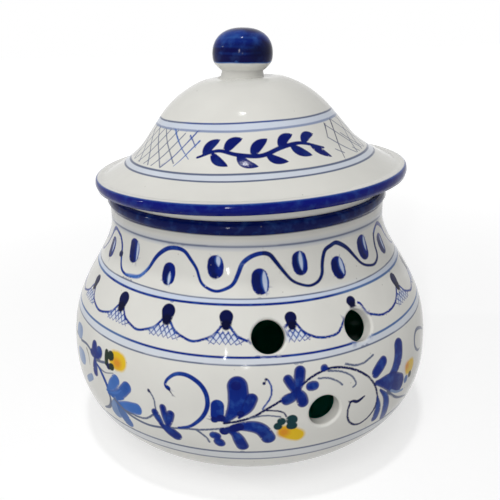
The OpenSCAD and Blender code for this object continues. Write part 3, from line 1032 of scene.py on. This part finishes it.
def add_vent(shell, outer, inner, marks, uv_rows):
    """Glazed wall of one vent, rounded at both ends; the pattern runs over its outer edge."""
    normal = outer.skin.normals(outer.turn, outer.s)
    edge = outer.skin.points(*outer.ring(VENT_R)) - outer.skin.points(outer.turn, outer.s)
    radial = edge - np.outer(edge @ normal, normal)
    radial /= np.linalg.norm(radial, axis=1, keepdims=True)
    rings, norms, paint = [], [], []
    for hole, ease, sign in ((outer, VENT_EASE, -1), (inner, VENT_INNER_EASE, 1)):
        for a in np.radians(np.linspace(0, 90, VENT_ROWS)[::-sign]):
            ring = hole.ring(VENT_R + ease * (1 - math.sin(a)))
            rings.append(hole.skin.points(*ring) + sign * normal * ease * (1 - math.cos(a)))
            fade = math.sin(a) ** 2
            painted = apply_paint(marks, *ring) if hole is outer else plain("inside")
            mixed = painted * (1 - fade) + plain("glaze") * fade
            paint.append(np.broadcast_to(mixed, (VENT_CORNERS, 4)))
            norms.append(-sign * normal * math.cos(a) - radial * math.sin(a))
    count = len(rings)
    v = np.interp(np.arange(count), [0, count - 1], uv_rows)
    faces, uvs = grid_faces(count, VENT_CORNERS, VENT_CORNERS, v)
    shell.add(*map(np.concatenate, (rings, norms, paint)), faces, uvs)


def plain(name):
    return np.r_[linear(name), 0.0]


def jar_holes(outer, inner):
    pairs = []
    for group in VENT_GROUPS:
        for turn, z in VENTS:
            s = outer.along(z)
            n = outer.normals(0.0, s)
            inner_s = inner.along(z + n[1] * n[2] * WALL)
            pairs.append((Hole(outer, turn + group, s, VENT_R + VENT_EASE),
                          Hole(inner, turn + group, inner_s, VENT_R + VENT_INNER_EASE)))
    return pairs


def make_jar(materials):
    outer, inner = Skin(jar_outside()), Skin(jar_inside())
    pairs = jar_holes(outer, inner)
    shell = Shell()
    marks = jar_marks(outer)
    add_painted(shell, outer, marks, [a for a, _ in pairs], UV_ROWS["jar"])
    add_painted(shell, inner, [], [b for _, b in pairs], UV_ROWS["inside"], plain("inside"))
    for i, (a, b) in enumerate(pairs):
        add_vent(shell, a, b, marks, [v + UV_VENT_STEP * i for v in UV_ROWS["vent"]])
    ease = arc((MOUTH_R + LIP_EASE, JAR_TOP - LIP_EASE), (LIP_EASE, LIP_EASE), 180, 90, count=9)
    lip = joined(ease, (LIP[0], JAR_TOP))
    fade = np.linspace(0, 1, len(lip))[:, None]
    add_lathe(shell, lip[::-1], 1, plain("lip") * (1 - fade) + plain("inside") * fade, UV_ROWS["lip"])
    floor = joined((BELLY[0], FLOOR_Z), np.linspace((FLOOR_FLAT, FLOOR_Z), (0, FLOOR_Z), num=8))
    add_lathe(shell, floor, 1, plain("inside"), UV_ROWS["floor"])
    foot = joined(
        (outer.r[0], outer.z[0]),
        arc((FOOT_R - FOOT_EASE, FOOT_EASE), (FOOT_EASE, FOOT_EASE), 0, -90, count=6),
        np.linspace((FOOT_R - 3 * FOOT_EASE, 0), (0, 0), num=10))
    add_lathe(shell, foot, -1, plain("clay"), UV_ROWS["foot"], slot=1)
    return shell.build("jar_glazed", lambda p: p, materials)


def tilted(x, z, angle, pivot):
    """Points turned about the place on the axis at a height."""
    rise = z - pivot
    return x * math.cos(angle) - rise * math.sin(angle), pivot + x * math.sin(angle) + rise * math.cos(angle)


def lean(points):
    """The lid sits a little askew on the jar, turned about its top and eased out at its seat."""
    x, y, z = points.T
    share = np.clip((z - JAR_TOP - LEAN_FROM) / LEAN_EASE, 0, 1)
    share = share * share * (3 - 2 * share)
    low = np.clip((LEAN_SIDE_TOP - z) / LEAN_SIDE_SPAN, 0, 1)
    new_x, new_z = tilted(x, z, LEAN, LEAN_PIVOT)
    new_x = new_x + LEAN_SIDE * low
    return np.stack([x + share * (new_x - x), y, z + share * (new_z - z)], 1)


def make_lid(material):
    outer = Skin(lid_outside(), -1, LID_PAINTED)
    shell = Shell()
    add_painted(shell, outer, lid_marks(outer) + rim_marks(outer), [], UV_ROWS["lid"])
    ease = (COLLAR_EASE, COLLAR_EASE)
    ease_z = COLLAR_LOW + COLLAR_EASE
    under = joined(
        (outer.r[-1], outer.z[-1]), UNDER, np.linspace(UNDER, (SEAT_R, JAR_TOP), num=8),
        np.linspace((SEAT_R, JAR_TOP), (COLLAR_R + SEAT_EASE, JAR_TOP), num=5),
        (COLLAR_R, JAR_TOP - SEAT_EASE),
        np.linspace((COLLAR_R, JAR_TOP - 2 * SEAT_EASE), (COLLAR_R, ease_z), num=6),
        arc((COLLAR_R - COLLAR_EASE, ease_z), ease, 0, -90, count=6),
        arc((COLLAR_IN + COLLAR_EASE, ease_z), ease, 270, 180, count=6),
        np.linspace((COLLAR_IN, COLLAR_LOW + COLLAR_RISE), (COLLAR_IN, COLLAR_TOP), num=10),
        arc((0, DOME_C), DOME_IN, 90 - DOME_END, 90, count=40))
    add_lathe(shell, under, -1, plain("glaze"), UV_ROWS["under"])
    crown = joined((outer.r[0], outer.z[0]), (CROWN_STEP, KNOB_SEAT), (0, KNOB_SEAT))
    add_lathe(shell, crown, 1, plain("glaze"), UV_ROWS["crown"])
    return shell.build("lid_glazed", lean, [material])


def lean_knob(points):
    """The knob was set on by hand and leans a little against the lid."""
    x, y, z = points.T
    new_x, new_z = tilted(x, z, KNOB_LEAN, KNOB_SEAT)
    return lean(np.stack([new_x + KNOB_SIDE, y, new_z], 1))


def knob_ball(count):
    """Boxy ball of the knob from its pinch to its top, taller above its widest part than below."""
    unit = full_arc((0, 0), 1, KNOB_FULL, np.linspace(-KNOB_END, 90, count))
    height = np.where(unit[:, 1] < 0, KNOB_LOW, KNOB_TOP) * unit[:, 1]
    return np.stack([KNOB_R * unit[:, 0], KNOB_C + height], 1)


KNOB_BANDS = (
    (KNOB_LINE - 0.3, OVER_TOP, "sky", 0.5),
    (KNOB_LINE, OVER_TOP, "knob", 0.4),
)
# Ink, half width, softness, strength and points of each mark over the dark ground
# The broad marks are painted light, brighter on the top and upper left, and painted shade on the lower right;
# the thin ones are brush streaks
KNOB_PAINTED_LIGHT_AND_STREAKS = (
    ("blue", 2.4, 3.2, 0.8, (-105, 148.8), (-55, 149.4), (-10, 149.9)),
    ("cobalt", 1.4, 2.2, 0.6, (-100, 146.6), (-40, 147.2), (30, 147.6)),
    ("cobalt", 1.6, 2.4, 0.6, (-10, 150), (35, 149.4), (75, 148.6)),
    ("azure", 0.35, 0.8, 0.3, (-70, 148), (-20, 148.5), (30, 148.3)),
    ("blue", 0.35, 0.8, 0.3, (-80, 145.2), (-30, 145.5), (20, 145.2)),
    ("blue", 0.3, 0.7, 0.3, (-50, 143.3), (-5, 143.1), (35, 143.4)),
    ("night", 2.4, 3.2, 0.7, (25, 143.6), (60, 144), (100, 144)),
)


def knob_marks(skin):
    ground = [level_band(skin, *band) for band in KNOB_BANDS]
    # Painted light and shade with brush streaks on the knob, copied at each turn of the flowers
    painted_light_and_streaks = [(turn, painted_light_or_streak) for turn in FLOWER_TURNS for painted_light_or_streak in KNOB_PAINTED_LIGHT_AND_STREAKS]
    return ground + [Stroke(skin, "line", ink, half, [(t + turn, z) for t, z in points], soft, strength)
                     for turn, (ink, half, soft, strength, *points) in painted_light_and_streaks]


def make_knob(material):
    waist = (KNOB_NECK_R, KNOB_SEAT + KNOB_NECK_H)
    sunk = (KNOB_FOOT_R, KNOB_SEAT - KNOB_SINK)
    neck = bend((KNOB_FOOT_R, KNOB_SEAT), (KNOB_NECK_R, KNOB_SEAT), waist, count=12)
    skin = Skin(joined(sunk, neck, knob_ball(count=90)))
    shell = Shell()
    add_painted(shell, skin, knob_marks(skin), [], UV_ROWS["knob"])
    under = joined(sunk, np.linspace((SUNK_FLAT, sunk[1]), (0, sunk[1]), num=4))
    add_lathe(shell, under, -1, plain("glaze"), UV_ROWS["sunk"])
    return shell.build("knob_glazed", lean_knob, [material])


# Materials

# Noise of each kind: scale, detail, then the range that is taken from it and the range that it gives
THIN = (300, 3, 0.48, 0.75, 0.0, 0.55)
MOTTLE = (55, 3, 0.3, 0.7, 0.95, 1.02)
GLAZE_ROUGH = (120, 2, 0.3, 0.7, 0.05, 0.13)
RIPPLE = (90, 2, 0, 1, 0.0, 1.0)
FINE_RIPPLE = (600, 2, 0, 1, 0.0, 0.06)
CLAY_GRAIN = (500, 5, 0.3, 0.7, 0.82, 1.05)
CLAY_ROUGH = (200, 3, 0.3, 0.7, 0.7, 0.9)
CLAY_BUMP = (900, 4, 0, 1, 0.0, 1.0)
PIT_SCALE = 170
PIT_SIZE = 0.045
PIT_STRENGTH = 0.35
GLOSS = 0.08           # specular level of the glaze


def node(tree, kind, **values):
    made = tree.nodes.new("ShaderNode" + kind)
    for key, value in values.items():
        if key in made.inputs:
            made.inputs[key].default_value = value
        else:
            setattr(made, key, value)
    return made


def map_range(tree, value, ranges, **values):
    """A value stretched from one range to another, given as four numbers."""
    made = node(tree, "MapRange", **values)
    for name, number in zip(("From Min", "From Max", "To Min", "To Max"), ranges):
        made.inputs[name].default_value = number
    tree.links.new(value, made.inputs["Value"])
    return made.outputs["Result"]


def noise(tree, where, scale, detail, *ranges):
    tex = node(tree, "TexNoise", Scale=scale, Detail=detail)
    tree.links.new(where.outputs["Object"], tex.inputs["Vector"])
    return map_range(tree, tex.outputs["Fac"], ranges)


def math_node(tree, operation, a, b):
    made = node(tree, "Math", operation=operation)
    for socket, value in zip(made.inputs, (a, b)):
        if isinstance(value, float):
            socket.default_value = value
        else:
            tree.links.new(value, socket)
    return made.outputs["Value"]


def blend_colour(tree, kind, amount, a, b):
    made = node(tree, "Mix", data_type="RGBA", blend_type=kind)
    for name, value in (("Factor_Float", amount), ("A_Color", a), ("B_Color", b)):
        socket = next(i for i in made.inputs if i.identifier == name)
        if isinstance(value, bpy.types.NodeSocket):
            tree.links.new(value, socket)
        else:
            socket.default_value = value
    return next(o for o in made.outputs if o.identifier == "Result_Color")


def new_material(name):
    material = bpy.data.materials.new(name)
    material.use_nodes = True
    tree = material.node_tree
    return material, tree, tree.nodes["Principled BSDF"]


def add_bump(tree, shader, height, strength, distance):
    bump = node(tree, "Bump", Strength=strength, Distance=distance)
    tree.links.new(height, bump.inputs["Height"])
    tree.links.new(bump.outputs["Normal"], shader.inputs["Normal"])


def glaze_material(name):
    """Tin glaze over brushed pigment: thin places in the blue, a soft mottle, pinholes and a slow ripple."""
    material, tree, shader = new_material(name)
    where = node(tree, "TexCoord")
    paint = node(tree, "Attribute", attribute_name="Paint")
    thin = math_node(tree, "MULTIPLY", noise(tree, where, *THIN), paint.outputs["Alpha"])
    colour = blend_colour(tree, "MIX", thin, paint.outputs["Color"], (*linear("sky"), 1))
    colour = blend_colour(tree, "MULTIPLY", 1.0, colour, noise(tree, where, *MOTTLE))
    pits = node(tree, "TexVoronoi", Scale=PIT_SCALE)
    tree.links.new(where.outputs["Object"], pits.inputs["Vector"])
    pit = math_node(tree, "LESS_THAN", pits.outputs["Distance"], PIT_SIZE)
    speck = math_node(tree, "MULTIPLY", pit, PIT_STRENGTH)
    colour = blend_colour(tree, "MIX", speck, colour, (*linear("brown"), 1))
    tree.links.new(colour, shader.inputs["Base Color"])
    tree.links.new(noise(tree, where, *GLAZE_ROUGH), shader.inputs["Roughness"])
    shader.inputs["Specular IOR Level"].default_value = GLOSS
    ripple = math_node(tree, "ADD", noise(tree, where, *RIPPLE), noise(tree, where, *FINE_RIPPLE))
    add_bump(tree, shader, ripple, strength=0.12, distance=0.002)
    return material


def clay_material(name):
    """Bare fired clay of the foot."""
    material, tree, shader = new_material(name)
    where = node(tree, "TexCoord")
    colour = blend_colour(tree, "MULTIPLY", 1.0, (*linear("clay"), 1), noise(tree, where, *CLAY_GRAIN))
    tree.links.new(colour, shader.inputs["Base Color"])
    tree.links.new(noise(tree, where, *CLAY_ROUGH), shader.inputs["Roughness"])
    add_bump(tree, shader, noise(tree, where, *CLAY_BUMP), strength=0.3, distance=0.001)
    return material


# Studio

CAMERA_AT = (0.0, -0.2469, 0.1547)
CAMERA_PITCH = 19.49
CAMERA_YAW = 2.06
CAMERA_ROLL = 1.76
CAMERA_LENS = 46.99
CAMERA_SHIFT = 0.0508
CAMERA_SENSOR = 36
CAMERA_NEAR = 0.01
# Lamp name, place in metres, width and height in metres, watts, and whether it shows in the gloss
LAMPS = (
    ("key", (-0.2, -0.9, 1.55), (0.8, 0.8), 6.3, False),
    ("fill", (-1.1, -0.65, 0.15), (0.5, 0.5), 0.4, False),
    ("left", (-1.19, -0.06, 0.6), (0.026, 0.09), 1.1, True),
    ("front", (-0.3, -1.2, 0.47), (0.04, 0.2), 3.9, True),
    ("second", (-0.045, -1.28, 0.27), (0.03, 0.03), 0.45, True),
    ("top", (-0.045, -0.21, 1.33), (0.1, 0.1), 3.4, True),
)
LAMP_AIM = (0, 0, 0.07)
WORLD_GLOW = (0.27, 1.0)       # light that the world gives, and what is seen of it
FLOOR_HALF = 3
FLOOR_Z_OFF = -0.0003          # keeps the floor clear of the foot
FLOOR_GREY = 0.62
# Glow of the floor beside the object and far off, and the metres between which it grows
FLOOR_GLOW = (0.52, 0.82)
FLOOR_REACH = (0.12, 0.7)


def make_camera():
    p, yaw, roll = (math.radians(v) for v in (CAMERA_PITCH, CAMERA_YAW, CAMERA_ROLL))
    level = Vector((-math.sin(yaw), math.cos(yaw), 0))
    right = Vector((math.cos(yaw), math.sin(yaw), 0))
    ahead = math.cos(p) * level - math.sin(p) * Vector((0, 0, 1))
    up = math.sin(p) * level + math.cos(p) * Vector((0, 0, 1))
    x = math.cos(roll) * right - math.sin(roll) * up
    y = math.sin(roll) * right + math.cos(roll) * up
    data = bpy.data.cameras.new("camera")
    data.sensor_width = CAMERA_SENSOR
    data.lens = CAMERA_LENS
    data.shift_x = CAMERA_SHIFT
    data.clip_start = CAMERA_NEAR
    camera = add_object("camera", data)
    camera.matrix_world = Matrix.Translation(CAMERA_AT) @ Matrix((x, y, -ahead)).transposed().to_4x4()
    bpy.context.scene.camera = camera


def make_lamps():
    for name, place, size, watts, in_gloss in LAMPS:
        data = bpy.data.lights.new(name, "AREA")
        data.shape = "RECTANGLE"
        data.size, data.size_y = size
        data.energy = watts
        lamp = add_object(name, data)
        aim = Vector(LAMP_AIM) - Vector(place)
        lamp.matrix_world = Matrix.Translation(place) @ aim.to_track_quat("-Z", "Y").to_matrix().to_4x4()
        lamp.visible_camera = False
        lamp.visible_glossy = in_gloss


def seen(tree):
    """1 for what the camera sees directly, in a gloss or through glass, else 0."""
    path = node(tree, "LightPath")
    direct = math_node(tree, "MAXIMUM", path.outputs["Is Camera Ray"], path.outputs["Is Glossy Ray"])
    return math_node(tree, "MAXIMUM", direct, path.outputs["Is Transmission Ray"])


def make_world():
    world = bpy.data.worlds.new("studio")
    bpy.context.scene.world = world
    world.use_nodes = True
    tree = world.node_tree
    back = tree.nodes["Background"]
    back.inputs["Color"].default_value = (1, 1, 1, 1)
    tree.links.new(map_range(tree, seen(tree), (0, 1, *WORLD_GLOW)), back.inputs["Strength"])


def make_floor():
    mesh = bpy.data.meshes.new("floor")
    corners = [(x * FLOOR_HALF, y * FLOOR_HALF, 0) for x, y in ((-1, -1), (1, -1), (1, 1), (-1, 1))]
    mesh.from_pydata(corners, [], [(0, 1, 2, 3)])
    floor = add_object("floor", mesh)
    floor.location.z = FLOOR_Z_OFF
    material, tree, shader = new_material("floor_paper")
    for name, value in (
            ("Base Color", (FLOOR_GREY, FLOOR_GREY, FLOOR_GREY, 1)), ("Roughness", 0.9),
            ("Specular IOR Level", 0.1), ("Emission Color", (1, 1, 1, 1))):
        shader.inputs[name].default_value = value
    away = node(tree, "VectorMath", operation="LENGTH")
    tree.links.new(node(tree, "TexCoord").outputs["Object"], away.inputs[0])
    grow = map_range(tree, away.outputs["Value"], FLOOR_REACH + FLOOR_GLOW, interpolation_type="SMOOTHSTEP")
    glow = math_node(tree, "MULTIPLY", seen(tree), grow)
    tree.links.new(glow, shader.inputs["Emission Strength"])
    mesh.materials.append(material)


def dress():
    """Puts the painted pieces on their bodies in place of the CAD solids."""
    glazes = {slot: glaze_material(slot) for slot in ("jar_glaze", "lid_glaze", "knob_glaze")}
    jar = make_jar([glazes["jar_glaze"], clay_material("bare_clay")])
    lid = make_lid(glazes["lid_glaze"])
    knob = make_knob(glazes["knob_glaze"])
    for piece, body, part, slot in (
            (jar, "jar", "jar_body", "jar_glaze"),
            (lid, "lid", "lid", "lid_glaze"),
            (knob, "lid", "lid_knob", "knob_glaze")):
        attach(piece, body)
        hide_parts(part)


dress()
make_camera()
make_lamps()
make_world()
make_floor()
bpy.context.scene.view_settings.view_transform = "Standard"
